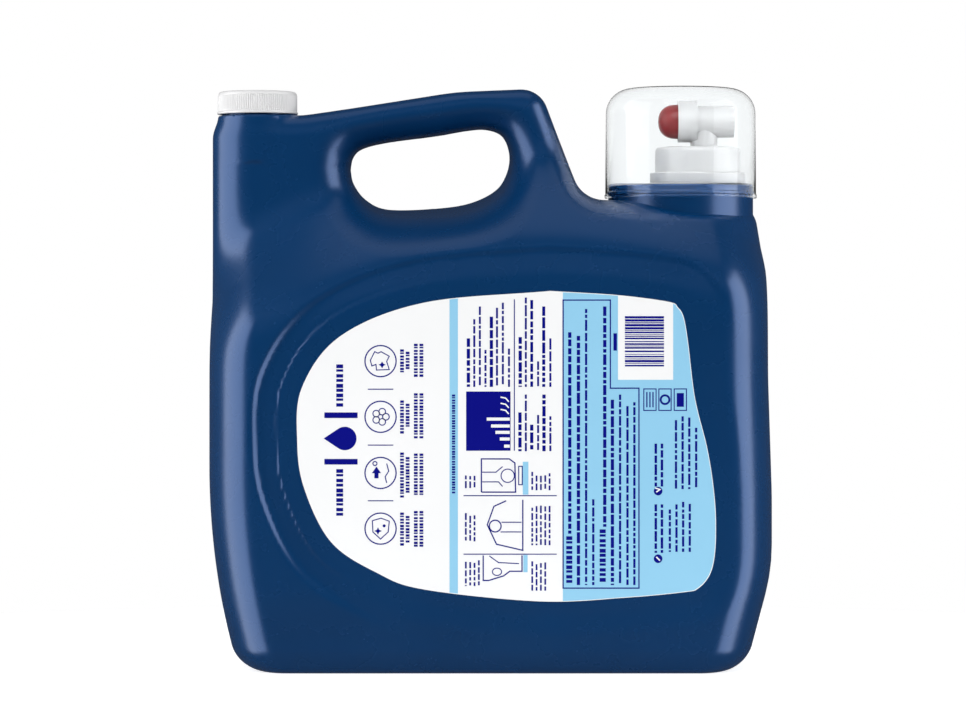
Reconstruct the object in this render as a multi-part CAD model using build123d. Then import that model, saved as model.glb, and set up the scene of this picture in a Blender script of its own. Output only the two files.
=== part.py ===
from build123d import *
from math import cos, radians, sin, sqrt
import os

# A large laundry detergent bottle: a blow-moulded body with a handle through its top, a vented
# screw cap on the left, and a press tap on the right under an upturned dosing cup.
# Millimetres. +Z is up as it stands, X runs along its width with the tap at +X, and Y is its
# depth. The origin is on the surface it stands on, under the middle of the body.

# --- body -------------------------------------------------------------------------------------
body_width = 288.6
body_depth = 138.0
wall = 1.2
foot_radius = 13.0
base_tuck = 3.5                 # the front and back draw in this far at the foot
base_swell_height = 45.0
swell_radius = 120.0
left_foot_sweep = 380.0         # radius of the left side where it curves in below left_foot_z
left_foot_z = 105.0
right_foot_tuck = 13.3          # how far the right side stands in from its widest stretch
belly_low_z = 52.0
belly_high_z = 90.0
waist_tuck = 1.9
waist_z = 150.0
right_shoulder_tuck = 2.1
right_shoulder_z = 205.0
shoulder_end_tuck = 7.9
right_side_radii = [100, 300, 300, 60]
corner_width = 26.0             # the upright corners are elliptical
corner_depth = 42.0

# --- shoulder -----------------------------------------------------------------------------------
lip_x = 25.0                    # the front and back lean in above a lip that is an arch
lip_z = 215.7
lean_angle = 47.2
arch_radius = 410.0
shoulder_z = 241.4
shoulder_end_radius = 8.0

# --- tower, handle and its leg --------------------------------------------------------------------
tower_z = 285.6
tower_half_depth = 21.5
tower_end_length = 24.0
tower_corner_radius = 8.0
grip_half_depth = 18.0
grip_rise_gap = 24.1            # from the vent's axis to where the handle starts to rise
grip_crest_gap = 116.8          # from the collar's axis back to the crest
grip_crest_z = 298.0
grip_end_gap = 73.3
grip_end_z = 299.8
leg_foot_gap = 51.3
skyline_radii = [16, 14, 120, 70]
rim_core = 11.0                 # the handle is full height to here, then bevelled
rim_bevel_depth = 7.5
rim_bevel = 5.0
hole_left_gap = 48.1            # from the vent's axis to the hole
hole_right_gap = 88.6           # from the collar's axis to the hole
hole_low_z = 237.0
hole_high_z = 279.0
hole_left_height = 30.2
hole_draft = 12.0

# --- label panel and labels ---------------------------------------------------------------------
panel_recess = 1.2
panel_margin = 2.5
label_left_gap = 46.8           # from the body's left side
label_top_right_gap = 47.8      # from the body's right side
label_foot_right_gap = 29.8
label_middle_z = 118.0
label_top_x = 30.0
label_top_z = 192.9
label_foot_x = 25.0
label_foot_z = 37.4
label_right_drop = 5.4
label_right_lift = 7.1
label_top_corner = 6.0
label_foot_corner = 10.0
label_thickness = 0.15

# --- vent neck and cap ----------------------------------------------------------------------------
vent_inset = 23.2               # from the body's left side
vent_pedestal_radius = 20.5
vent_pedestal_root = 268.0
vent_neck_radius = 17.5
vent_bore_radius = 15.9
vent_neck_height = 10.2
cap_radius = 20.5
cap_bead = 0.5
cap_bead_height = 1.2
cap_height = 11.7
cap_wall = 1.3
cap_top = 1.5
cap_edge_radius = 2.0
cap_gap = 1.0
liner_thickness = 0.8
seat_clearance = 0.2

# --- collar and dosing cup ------------------------------------------------------------------------
collar_inset = 45.5             # from the body's right side
collar_height = 7.7
collar_root = 222.0
cup_wall = 1.1
cup_rim_radius = 39.5
cup_top_radius = 38.8
cup_rim_z = 243.1
cup_height = 57.7
cup_corner = 13.0
cup_dome = 0.8
cup_clearance = 0.3
snap_bead = 0.5
snap_bead_height = 2.0

# --- tap neck, closure and gasket -------------------------------------------------------------------
tap_offset = 8.9                # the tap stands this far right of the collar's axis
tap_neck_radius = 19.0
tap_bore_radius = 17.3
tap_neck_height = 15.4
gasket_thickness = 1.0
closure_gap = 0.5
skirt_radius = 24.8
skirt_height = 5.5
skirt_wall = 1.6
drum_radius = 22.1
drum_height = 13.8
drum_wall = 1.5
drum_top = 1.7
drum_edge_radius = 2.9
tap_disc_thickness = 1.5

# --- tap body and valve -------------------------------------------------------------------------------
post_offset = 12.1
post_radius = 7.0
feed_radius = 5.0
barrel_height = 13.7            # above the closure's top
barrel_radius = 8.6
barrel_bore_radius = 6.9
flange_radius = 11.5
flange_thickness = 3.5
flange_offset = 7.2             # from the post's axis back to the flange's outer face
spout_length = 15.5             # from the post's axis
seat_offset = 6.2
seat_thickness = 1.5
seat_radius = 4.6
end_wall = 2.6
gland_radius = 4.1
gland_depth = 1.8
ring_radius = 11.2
ring_length = 6.4
ring_wall = 1.0
ring_lip_radius = 9.6
ring_lip = 0.9
button_radius = 9.3
button_height = 11.3
button_wall = 1.4
button_flange_radius = 9.9
button_flange = 0.7
button_stem_boss = 3.4
stem_radius = 2.0
stem_head_radius = 3.4
stem_head = 1.0
stem_clearance = 0.3
seal_radius = 6.0
seal_thickness = 1.8
o_ring_cord = 0.7
spring_radius = 6.0
spring_wire = 0.45
spring_turns = 4


half_width = body_width / 2
half_depth = body_depth / 2
vent_x = vent_inset - half_width
collar_x = half_width - collar_inset
collar_radius = cup_rim_radius - cup_wall - cup_clearance - snap_bead
collar_z = shoulder_z + collar_height
tap_neck_z = collar_z + tap_neck_height
vent_neck_z = tower_z + vent_neck_height
cap_z = tower_z + cap_gap
tap_x = collar_x + tap_offset
closure_z = collar_z + closure_gap
drum_z = closure_z + skirt_height
closure_top = drum_z + drum_height
barrel_z = closure_top + barrel_height
post_x = collar_x + post_offset
flange_x = post_x - flange_offset
spout_x = post_x + spout_length
seat_x = post_x + seat_offset
seal_x = seat_x + seat_thickness + seat_clearance / 2
button_x = flange_x - ring_length + ring_lip + seat_clearance


def grown(face, skin):
    """The outline moved out by skin, or in where skin is negative."""
    return offset(face, skin) if skin else face


def front_outline():
    """The body seen from the front: foot, sides, right shoulder, leg, handle and tower."""
    foot_left = left_foot_sweep - sqrt(left_foot_sweep ** 2 - left_foot_z ** 2) - half_width
    foot_right = half_width - right_foot_tuck
    rim = FilletPolyline(
        (foot_right, 0), (half_width, belly_low_z), (half_width, belly_high_z),
        (half_width - waist_tuck, waist_z), (half_width - right_shoulder_tuck, right_shoulder_z),
        (half_width - shoulder_end_tuck, shoulder_z), (collar_x - leg_foot_gap, shoulder_z),
        (collar_x - grip_end_gap, grip_end_z), (collar_x - grip_crest_gap, grip_crest_z),
        (vent_x + grip_rise_gap, tower_z), (-half_width, tower_z), (-half_width, left_foot_z),
        radius=right_side_radii + [shoulder_end_radius] + skyline_radii + [tower_corner_radius],
    )
    rim += TangentArc((-half_width, left_foot_z), (foot_left, 0), tangent=(0, -1))
    face = make_face((rim + Line((foot_left, 0), (foot_right, 0))).edges())
    return fillet(face.vertices().sort_by(Axis.Y)[:2], foot_radius)


def side_outline():
    """The body seen from the side, without the lean of its shoulders."""
    far = grip_end_z + foot_radius
    half = FilletPolyline(
        (0, 0), (half_depth - base_tuck, 0), (half_depth, base_swell_height), (half_depth, far),
        (0, far), radius=[foot_radius, swell_radius, wall],
    )
    face = make_face((half + Line((0, far), (0, 0))).edges())
    return face + mirror(face, Plane.YZ)


def plan_outline(skin):
    """The body seen from above: a rectangle with elliptical corners."""
    width, depth = corner_width - skin, corner_depth - skin
    x, y = half_width - corner_width, half_depth - corner_depth
    quarters = [(x, y, 0), (-x, y, 90), (-x, -y, 180), (x, -y, 270)]
    arcs = [EllipticalCenterArc((cx, cy), width, depth, turn, arc_size=90).edge()
            for cx, cy, turn in quarters]
    edges = []
    for arc, following in zip(arcs, arcs[1:] + arcs[:1]):
        edges += [arc, Line(arc @ 1, following @ 0).edge()]
    return Face(Wire(edges))


def leaning_shoulder(side, skin):
    """A wide cylinder that lies back along one shoulder, so that its lip is an arch."""
    lean = radians(lean_angle)
    outward = Vector(0, side * cos(lean), sin(lean))
    upward = Vector(0, -side * sin(lean), cos(lean))
    axis_point = Vector(lip_x, side * half_depth, lip_z) - outward * arch_radius
    length = 4 * grip_end_z
    plane = Plane(origin=axis_point - upward * length / 2, z_dir=upward)
    return plane * Cylinder(arch_radius - skin, length, align=(Align.CENTER, Align.CENTER, Align.MIN))


def foot_wedge(side, top, skin):
    """What one side leaves outside itself where it draws in at the foot; side is -1 or 1."""
    beside = Pos(side * half_width, top / 2) * Rectangle(5 * foot_radius, top + 2 * foot_radius)
    outside = beside - grown(front_outline(), -skin)
    return extrude(Plane.XZ * outside, body_depth, both=True)


def lower_body(skin):
    form = extrude(Plane.YZ * grown(side_outline(), -skin), body_width, both=True)
    form = form & extrude(plan_outline(skin), grip_end_z)
    form = form - foot_wedge(-1, left_foot_z, skin)
    form = form - foot_wedge(1, (belly_low_z + belly_high_z) / 2, skin)
    for side in (-1, 1):
        form = form & leaning_shoulder(side, skin)
    return form & extrude(Plane.XZ * grown(front_outline(), -skin), body_depth, both=True)


def grip_plan(skin):
    """The tower and handle seen from above: a round end that narrows to the handle."""
    reach, tower_y = tower_end_length - skin, tower_half_depth - skin
    grip_y = grip_half_depth - skin
    x = tower_end_length - half_width
    narrow_x = vent_x + hole_left_gap + grip_half_depth
    end_x = collar_x - leg_foot_gap + grip_half_depth
    round_end = EllipticalCenterArc((x, 0), reach, tower_y, 90, arc_size=180).edge()
    near = Spline(round_end @ 1, (narrow_x, -grip_y), (end_x, -grip_y), tangents=[(1, 0)] * 2)
    far = Spline((end_x, grip_y), (narrow_x, grip_y), round_end @ 0, tangents=[(-1, 0)] * 2)
    end = Line((end_x, -grip_y), (end_x, grip_y))
    return Face(Wire([round_end, near.edge(), end.edge(), far.edge()]))


def hole_outline():
    """The handle's opening, seen from the front."""
    left, right = vent_x + hole_left_gap, collar_x - hole_right_gap
    left_high_z = hole_low_z + hole_left_height
    outline = FilletPolyline(
        (left, hole_low_z + 1.2), (left + 33, hole_low_z), (right - 13.2, hole_low_z + 6),
        (right, hole_low_z + 20), (right - 1.7, hole_high_z), (right - 30.2, hole_high_z - 3.2),
        (left + 17, hole_high_z - 8.5), (left - 1, left_high_z + 1.2),
        radius=[6, 60, 12, 14, 8, 60, 60, 6], close=True,
    )
    return make_face(outline.edges())


def label_outline(margin=0.0):
    """A D lying on its side: one long curve at the left and a leaning straight at the right."""
    left = label_left_gap - half_width - margin
    top, foot = label_top_z + margin, label_foot_z - margin
    right_top = (half_width - label_top_right_gap + margin, top - label_right_drop)
    right_foot = (half_width - label_foot_right_gap + margin, foot + label_right_lift)
    curve = Spline(
        right_top, (label_top_x, top), (left + 22, label_middle_z + 0.7 * (top - label_middle_z)),
        (left, label_middle_z), (left + 17, label_middle_z - 0.63 * (label_middle_z - foot)),
        (left + 64, foot + 6), (label_foot_x, foot), right_foot,
    )
    face = make_face((curve + Line(right_foot, right_top)).edges())
    face = fillet(face.vertices().sort_by(Axis.Y)[0], label_foot_corner + margin)
    return fillet(face.vertices().sort_by(Axis.Y)[-1], label_top_corner + margin)


def both_ways(face, start, reach, draft=0.0):
    """Extrude an X-Z outline to the front and to the back from start, narrowing by draft."""
    front = extrude(Plane.XZ.offset(start) * face, reach, taper=draft)
    return front + mirror(front, Plane.XZ)


def grip(skin):
    """The tower, handle and leg, bevelled along their outline."""
    outline = grown(front_outline(), -skin)
    bevelled = extrude(Plane.XZ * outline, rim_core - skin, both=True)
    bevelled += both_ways(offset(outline, -rim_bevel / 2), 0, rim_core + rim_bevel_depth / 2 - skin)
    bevelled += both_ways(offset(outline, -rim_bevel), 0, half_depth)
    low = lip_z - tower_half_depth
    return bevelled & (Pos(0, 0, low) * extrude(grip_plan(skin), grip_end_z - low))


def body_form(skin):
    """The body's outer form, or with a skin the form of the space inside it."""
    form = lower_body(skin) + grip(skin)
    form = form - both_ways(grown(hole_outline(), skin), 0, body_depth, -hole_draft)
    panel = label_outline(panel_margin + skin)
    return form - both_ways(panel, half_depth - panel_recess - skin, body_depth)


def post(x, radius, low, high):
    """An upright cylinder."""
    return Pos(x, 0, low) * Cylinder(radius, high - low, align=(Align.CENTER, Align.CENTER, Align.MIN))


def rod(radius, near, far):
    """A cylinder along X on the barrel's axis, from near to far."""
    align = (Align.CENTER, Align.CENTER, Align.MIN)
    return Pos(near, 0, barrel_z) * (Rot(0, 90, 0) * Cylinder(radius, far - near, align=align))


def make_bottle():
    outer = body_form(0.0)
    outer += post(vent_x, vent_pedestal_radius, vent_pedestal_root, tower_z)
    outer += post(vent_x, vent_neck_radius, tower_z, vent_neck_z)
    outer += post(collar_x, collar_radius, collar_root, collar_z)
    bead_z = cup_rim_z + snap_bead_height / 2
    outer += post(collar_x, collar_radius + snap_bead, bead_z, bead_z + snap_bead_height)
    outer += post(tap_x, tap_neck_radius, collar_z, tap_neck_z)
    inner = body_form(wall)
    inner += post(vent_x, vent_pedestal_radius - wall, vent_pedestal_root, tower_z - wall)
    inner += post(vent_x, vent_bore_radius, tower_z - 2 * wall, vent_neck_z + 1)
    inner += post(collar_x, collar_radius - wall, collar_root, collar_z - wall)
    inner += post(tap_x, tap_bore_radius, collar_z - 2 * wall, tap_neck_z + 1)
    return outer - inner


def make_label(side):
    """A thin label flat on its panel; side is -1 for the -Y face and 1 for the +Y face."""
    face_y = half_depth - panel_recess
    sheet = extrude(Plane.XZ.offset(face_y) * label_outline(), label_thickness)
    return sheet if side < 0 else mirror(sheet, Plane.XZ)


def make_vent_cap():
    shell = post(vent_x, cap_radius, cap_z, cap_z + cap_height)
    shell = fillet(shell.edges().sort_by(Axis.Z)[-1], cap_edge_radius)
    shell += post(vent_x, cap_radius + cap_bead, cap_z, cap_z + cap_bead_height)
    return shell - post(vent_x, cap_radius - cap_wall, cap_z - 1, cap_z + cap_height - cap_top)


def make_vent_cap_liner():
    ceiling = cap_z + cap_height - cap_top
    return post(vent_x, cap_radius - cap_wall - seat_clearance, ceiling - liner_thickness, ceiling)


def cup_shell(skin):
    """The dosing cup's outer form, or the space inside it."""
    top = cup_rim_z + cup_height - skin
    rim, crown, corner = cup_rim_radius - skin, cup_top_radius - skin, cup_corner - skin
    low = cup_rim_z - (1 if skin else 0)
    side_top = (crown, top - cup_dome - corner)
    flat_start = (crown - corner, top - cup_dome)
    profile = Polyline((0, top), (0, low), (rim, low), side_top)
    profile += TangentArc(side_top, flat_start, tangent=(0, 1))
    profile += Spline(flat_start, (0, top), tangents=[(-1, 0), (-1, 0)])
    return Pos(collar_x, 0, 0) * revolve(Plane.XZ * make_face(profile.edges()), Axis.Z)


def make_dosing_cup():
    return cup_shell(0.0) - cup_shell(cup_wall)


def make_tap_collar():
    drum = post(tap_x, drum_radius, closure_z, closure_top)
    drum = fillet(drum.edges().sort_by(Axis.Z)[-1], drum_edge_radius)
    shell = drum + post(tap_x, skirt_radius, closure_z, drum_z)
    shell -= post(tap_x, drum_radius - drum_wall, closure_z - 1, closure_top - drum_top)
    shell -= post(tap_x, skirt_radius - skirt_wall, closure_z - 1, drum_z - skirt_wall)
    return shell - post(post_x, post_radius + seat_clearance, closure_z, closure_top + 1)


def make_neck_gasket():
    ring = post(tap_x, tap_neck_radius, tap_neck_z, tap_neck_z + gasket_thickness)
    return ring - post(tap_x, tap_bore_radius, tap_neck_z - 1, tap_neck_z + 2 * gasket_thickness)


def make_tap_body():
    disc_z = tap_neck_z + gasket_thickness
    solid = post(tap_x, tap_neck_radius, disc_z, disc_z + tap_disc_thickness)
    solid += post(post_x, post_radius, disc_z, barrel_z)
    solid += rod(barrel_radius, flange_x, spout_x)
    solid += rod(flange_radius, flange_x, flange_x + flange_thickness)
    solid -= post(post_x, feed_radius, disc_z - 1, barrel_z)
    solid -= rod(barrel_bore_radius, flange_x + end_wall, seat_x)
    solid -= rod(seat_radius, seat_x - 1, seat_x + seat_thickness + 1)
    solid -= rod(barrel_bore_radius, seat_x + seat_thickness, spout_x + 1)
    solid -= rod(stem_radius + stem_clearance, flange_x - 1, seat_x)
    return solid - rod(gland_radius, flange_x - 1, flange_x + gland_depth)


def make_button_ring():
    ring = rod(ring_radius, flange_x - ring_length, flange_x)
    ring -= rod(ring_lip_radius, flange_x - ring_length - 1, flange_x)
    return ring - rod(ring_radius - ring_wall, flange_x - ring_length + ring_lip, flange_x + 1)


def dome(radius, height):
    """Half an ellipsoid that points to -X from the button's base plane."""
    profile = EllipticalCenterArc((0, 0), height, radius, 90, arc_size=90)
    profile += Polyline((-height, 0), (0, 0), (0, radius))
    solid = revolve(make_face(profile.edges()), Axis.X)
    return Pos(button_x, 0, barrel_z) * solid


def make_push_button():
    base = button_x + button_flange
    shell = dome(button_radius, button_height) + rod(button_flange_radius, button_x, base)
    shell -= dome(button_radius - button_wall, button_height - button_wall)
    shell -= rod(button_radius - button_wall, button_x - 0.01, base + 1)
    boss = rod(button_stem_boss, button_x - button_height + button_wall / 2, button_x)
    boss = boss - rod(stem_radius, button_x - button_height / 2, base + 1)
    return shell + boss


def make_valve_stem():
    head_x = seal_x + seal_thickness
    stem = rod(stem_radius, button_x - button_height / 2, head_x)
    return stem + rod(stem_head_radius, head_x, head_x + stem_head)


def make_valve_seal():
    disc = rod(seal_radius, seal_x, seal_x + seal_thickness)
    return disc - rod(stem_radius, seal_x - 1, seal_x + seal_thickness + 1)


def make_stem_o_ring():
    ring_x = flange_x + gland_depth / 2
    centre_radius = stem_radius + stem_clearance / 2 + o_ring_cord
    torus = Torus(centre_radius, o_ring_cord)
    return Pos(ring_x, 0, barrel_z) * (Rot(0, 90, 0) * torus)


def make_return_spring():
    start = button_x - button_height / 3
    length = flange_x - start - spring_wire - seat_clearance
    coil = Helix(pitch=length / spring_turns, height=length, radius=spring_radius)
    wire = Plane(origin=coil @ 0, z_dir=coil % 0) * Circle(spring_wire)
    spring = sweep(wire, path=coil, is_frenet=True)
    return Pos(start, 0, barrel_z) * (Rot(0, 90, 0) * spring)


nodes = {
    "bottle": make_bottle,
    "back_label": lambda: make_label(-1),
    "front_label": lambda: make_label(1),
    "vent_cap": make_vent_cap,
    "vent_cap_liner": make_vent_cap_liner,
    "dosing_cup": make_dosing_cup,
    "tap_collar": make_tap_collar,
    "neck_gasket": make_neck_gasket,
    "tap_body": make_tap_body,
    "button_ring": make_button_ring,
    "push_button": make_push_button,
    "valve_stem": make_valve_stem,
    "valve_seal": make_valve_seal,
    "stem_o_ring": make_stem_o_ring,
    "return_spring": make_return_spring,
}

os.makedirs("parts", exist_ok=True)
for name, make in nodes.items():
    export_step(make(), f"parts/{name}.step")
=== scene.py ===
"""Looks for a large laundry detergent bottle with a press tap, a dosing cup and a vented cap."""
from math import cos, pi, radians, sin, sqrt, tan

import bmesh
import bpy
import numpy as np
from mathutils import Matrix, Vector


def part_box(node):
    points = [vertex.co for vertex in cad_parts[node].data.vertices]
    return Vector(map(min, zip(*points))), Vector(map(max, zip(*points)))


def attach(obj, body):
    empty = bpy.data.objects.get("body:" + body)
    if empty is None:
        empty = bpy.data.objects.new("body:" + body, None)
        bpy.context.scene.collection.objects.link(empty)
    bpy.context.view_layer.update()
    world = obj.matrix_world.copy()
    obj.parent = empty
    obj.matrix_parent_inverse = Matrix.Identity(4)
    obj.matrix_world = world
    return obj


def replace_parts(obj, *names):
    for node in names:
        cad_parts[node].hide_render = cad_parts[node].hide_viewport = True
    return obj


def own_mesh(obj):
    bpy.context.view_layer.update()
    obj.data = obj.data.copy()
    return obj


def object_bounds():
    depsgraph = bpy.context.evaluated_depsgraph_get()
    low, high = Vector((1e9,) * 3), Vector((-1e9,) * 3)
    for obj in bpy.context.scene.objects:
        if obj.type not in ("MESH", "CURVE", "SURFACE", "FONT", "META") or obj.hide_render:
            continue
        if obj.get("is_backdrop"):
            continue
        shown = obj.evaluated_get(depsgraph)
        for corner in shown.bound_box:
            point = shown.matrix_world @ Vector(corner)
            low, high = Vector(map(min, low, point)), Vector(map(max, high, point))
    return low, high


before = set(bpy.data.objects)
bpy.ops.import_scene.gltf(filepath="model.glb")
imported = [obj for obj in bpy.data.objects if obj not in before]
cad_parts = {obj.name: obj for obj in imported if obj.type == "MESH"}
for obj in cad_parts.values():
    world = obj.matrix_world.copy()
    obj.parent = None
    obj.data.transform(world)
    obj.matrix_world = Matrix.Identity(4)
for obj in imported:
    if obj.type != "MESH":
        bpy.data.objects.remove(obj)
cad_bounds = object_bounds()

MM = 0.001


def node_box(name):
    """A node's lowest and highest corners in millimetres."""
    low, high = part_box(name)
    return np.array(low) / MM, np.array(high) / MM


# --- sizes, in millimetres, read from the frame --------------------------------------------------
bottle_high = node_box("bottle")[1]
cap_low, cap_high = node_box("vent_cap")
cup_low, cup_high = node_box("dosing_cup")
closure_low, closure_high = node_box("tap_collar")
label_low, label_high = node_box("back_label")
ring_low, ring_high = node_box("button_ring")
button_low, button_high = node_box("push_button")
spring_low, spring_high = node_box("return_spring")

half_width = bottle_high[0]
half_depth = bottle_high[1]
vent_x = (cap_low[0] + cap_high[0]) / 2
collar_x = (cup_low[0] + cup_high[0]) / 2
tap_x = (closure_low[0] + closure_high[0]) / 2
barrel_z = (ring_low[2] + ring_high[2]) / 2

# --- the body's shape ----------------------------------------------------------------------------
foot_radius = 13.0
base_tuck = 3.5
base_swell_height = 45.0
left_foot_sweep, left_foot_z = 380.0, 105.0
corner_width, tower_corner_width, corner_depth = 26.0, 22.5, 42.0
right_side = [(13.3, -40), (13.3, 0), (0, 52), (0, 90), (1.9, 150), (2.1, 205), (7.9, 241.4), (8.5, 320)]
right_side_radii = [60, 100, 300, 300, 60, 60]
lip_x, lip_z, lip_softness = 25.0, 215.7, 6.0
shoulder_slope, arch_radius = 1.08, 410.0
grip_half_depth, tower_extra, grip_softness = 17.6, 3.0, 6.0
shoulder_z, tower_z, grip_end_z, grip_crest_z = 241.4, 285.6, 299.8, 298.0
skyline_radii = [16, 14, 120, 70]
rim_radius, hole_rim_radius, hole_draft = 12.0, 13.5, 12.0
hole_low_z, hole_high_z = 237.0, 279.0
vent_pedestal_radius, vent_bore_radius, vent_neck_radius = 20.5, 15.9, 17.5
pocket_floor_z = 225.0
panel_recess = 1.2
groove_offset = 22.5            # the groove's outer edge stands this far outside the label
cell = 1.75                     # size of the body mesh's faces
grid_step = 1.0


def ease(t):
    t = np.clip(t, 0.0, 1.0)
    return t * t * (3 - 2 * t)


def soft_above_zero(v):
    return np.maximum(v, 0.0) + np.log1p(np.exp(-np.abs(v)))


def rounded_path(points, radii, arc_step=0.12):
    """A path of straights with an arc of the given radius at each inner point."""
    points = [np.array(p, float) for p in points]
    path = [points[0]]
    for before, corner, after, radius in zip(points, points[1:], points[2:], radii):
        come = (corner - before) / np.linalg.norm(corner - before)
        leave = (after - corner) / np.linalg.norm(after - corner)
        turn = np.arccos(np.clip(come @ leave, -1, 1))
        side = np.sign(come[0] * leave[1] - come[1] * leave[0])
        start = corner - come * radius * tan(turn / 2)
        normal = side * np.array([-come[1], come[0]])
        centre = start + normal * radius
        count = max(2, int(turn / arc_step) + 1)
        for i in range(count + 1):
            angle = side * turn * i / count
            turned = np.array([
                -normal[0] * cos(angle) + normal[1] * sin(angle),
                -normal[0] * sin(angle) - normal[1] * cos(angle),
            ])
            path.append(centre + turned * radius)
    path.append(points[-1])
    return np.array(path)


def smooth_curve(points, steps=14):
    """A Catmull-Rom curve through the points."""
    p = np.array([2 * np.array(points[0]) - points[1], *points, 2 * np.array(points[-1]) - points[-2]])
    t = np.linspace(0, 1, steps, endpoint=False)[:, None]
    out = []
    for a, b, c, d in zip(p, p[1:], p[2:], p[3:]):
        out.append(0.5 * (2 * b + (c - a) * t + (2 * a - 5 * b + 4 * c - d) * t ** 2
                          + (3 * b - a - 3 * c + d) * t ** 3))
    return np.vstack(out + [p[-2:-1]])


# --- outlines --------------------------------------------------------------------------------------
def skyline():
    """The top of the body from right to left, as a path."""
    far = 3 * half_width
    points = [
        (far, shoulder_z), (collar_x - 51.3, shoulder_z), (collar_x - 73.3, grip_end_z),
        (collar_x - 116.8, grip_crest_z), (vent_x + 24.1, tower_z), (-far, tower_z),
    ]
    return rounded_path(points, skyline_radii)


def hole_outline():
    """The handle's opening: a rounded, slanted slot that widens towards the tap."""
    left, right, low = vent_x + 48.5, collar_x - 89.2, hole_low_z
    high = hole_high_z
    loop = smooth_curve([
        (left, low + 20.9), (left + 1.6, low + 13.5), (left + 7.9, low + 5.3), (left + 19.3, low + 0.3),
        (left + 44, low + 0.8), (right - 20.3, low + 3.6), (right - 7.0, low + 10.2),
        (right - 1.2, low + 19.2), (right, low + 29.1), (right - 3.7, high - 3.9),
        (right - 11.9, high - 0.6), (right - 21.8, high - 1.1), (right - 38.2, high - 3.9),
        (right - 62.9, high - 7.2), (left + 6.2, high - 10.5), (left + 1.4, high - 15.0),
        (left, low + 20.9),
    ], 8)
    return loop[:-1]


def label_outline():
    """The label's edge: a long curve round the left, and a right side with full corners."""
    left, right = label_low[0], label_high[0]
    top, foot = label_high[2], label_low[2]
    middle = foot + 0.518 * (top - foot)
    loop = smooth_curve([
        (30, top), (-34, top - 6), (left + 22, middle + 0.7 * (top - middle)),
        (left + 2.5, middle + 27), (left, middle), (left + 3.5, middle - 24),
        (left + 17, middle - 0.63 * (middle - foot)), (left + 40, foot + 14.5),
        (left + 64, foot + 6), (25, foot), (68, foot + 1.9), (right - 15.3, foot + 4.7),
        (right - 8.6, foot + 6.6), (right - 3.0, foot + 13.1), (right - 0.4, foot + 22.8),
        (right + 0.3, foot + 37.9), (right - 0.7, foot + 55.2), (right - 4.0, foot + 76.7),
        (right - 10.3, top - 53.9), (right - 13.8, top - 25.8), (right - 16.0, top - 13.2),
        (right - 18.8, top - 8.4), (right - 23.5, top - 5.5), (64, top - 2.1), (30, top),
    ])
    return loop[:-1]


class Grid:
    """Signed distance to a closed outline on an even X-Z grid, negative inside."""

    low_x, low_z = -half_width - 12, -14.0
    shape = (int(2 * half_width / grid_step) + 26, int(bottle_high[2] / grid_step) + 32)

    def __init__(self, path, inside):
        x = self.low_x + grid_step * np.arange(self.shape[0])
        z = self.low_z + grid_step * np.arange(self.shape[1])
        px, pz = np.meshgrid(x, z, indexing="ij")
        nearest = np.full(self.shape, 1e9)
        for (ax, az), (bx, bz) in zip(path, path[1:]):
            dx, dz = bx - ax, bz - az
            along = ((px - ax) * dx + (pz - az) * dz) / max(dx * dx + dz * dz, 1e-9)
            along = np.clip(along, 0, 1)
            nearest = np.minimum(nearest, np.hypot(px - ax - along * dx, pz - az - along * dz))
        self.values = np.where(inside(px, pz, path), -nearest, nearest)

    def at(self, x, z):
        u = np.clip((x - self.low_x) / grid_step, 0, self.shape[0] - 1.001)
        v = np.clip((z - self.low_z) / grid_step, 0, self.shape[1] - 1.001)
        i, j = u.astype(int), v.astype(int)
        fu, fv = u - i, v - j
        g = self.values
        low = g[i, j] * (1 - fu) + g[i + 1, j] * fu
        high = g[i, j + 1] * (1 - fu) + g[i + 1, j + 1] * fu
        return low * (1 - fv) + high * fv


def below_path(px, pz, path):
    order = np.argsort(path[:, 0])
    return pz < np.interp(px, path[order, 0], path[order, 1])


def inside_loop(px, pz, path):
    inside = np.zeros(px.shape, bool)
    for (ax, az), (bx, bz) in zip(path, path[1:]):
        if az == bz:
            continue
        crosses = (az > pz) != (bz > pz)
        inside ^= crosses & (px < (bx - ax) * (pz - az) / (bz - az) + ax)
    return inside


def closed(path):
    return np.vstack([path, path[:1]])


top_grid = Grid(skyline(), below_path)
hole_grid = Grid(closed(hole_outline()), inside_loop)
label_grid = Grid(closed(label_outline()), inside_loop)
right_path = rounded_path([(half_width - tuck, z) for tuck, z in right_side], right_side_radii)


# --- the body as a field: negative inside --------------------------------------------------------
def round_and(a, b, radius):
    """The overlap of two fields with its edge rounded."""
    outside = np.hypot(np.maximum(a + radius, 0), np.maximum(b + radius, 0)) - radius
    return np.minimum(np.maximum(a, b), -radius) + radius + outside


def soft_or(a, b, blend):
    """The union of two fields with a small fillet between them."""
    share = np.clip(0.5 + 0.5 * (b - a) / blend, 0, 1)
    return b * (1 - share) + a * share - blend * share * (1 - share)


def plain_half_depth(x, z):
    swell = ease(z / base_swell_height)
    lower = half_depth - base_tuck * (1 - swell)
    sag = arch_radius - np.sqrt(arch_radius ** 2 - (x - lip_x) ** 2)
    lip = lip_z - sag * sqrt(1 + shoulder_slope ** 2) / shoulder_slope
    lean = shoulder_slope * lip_softness * soft_above_zero((z - lip) / lip_softness)
    grip = grip_half_depth + tower_extra * ease((-68 - x) / 25)
    return grip + grip_softness * soft_above_zero((lower - lean - grip) / grip_softness)


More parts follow.
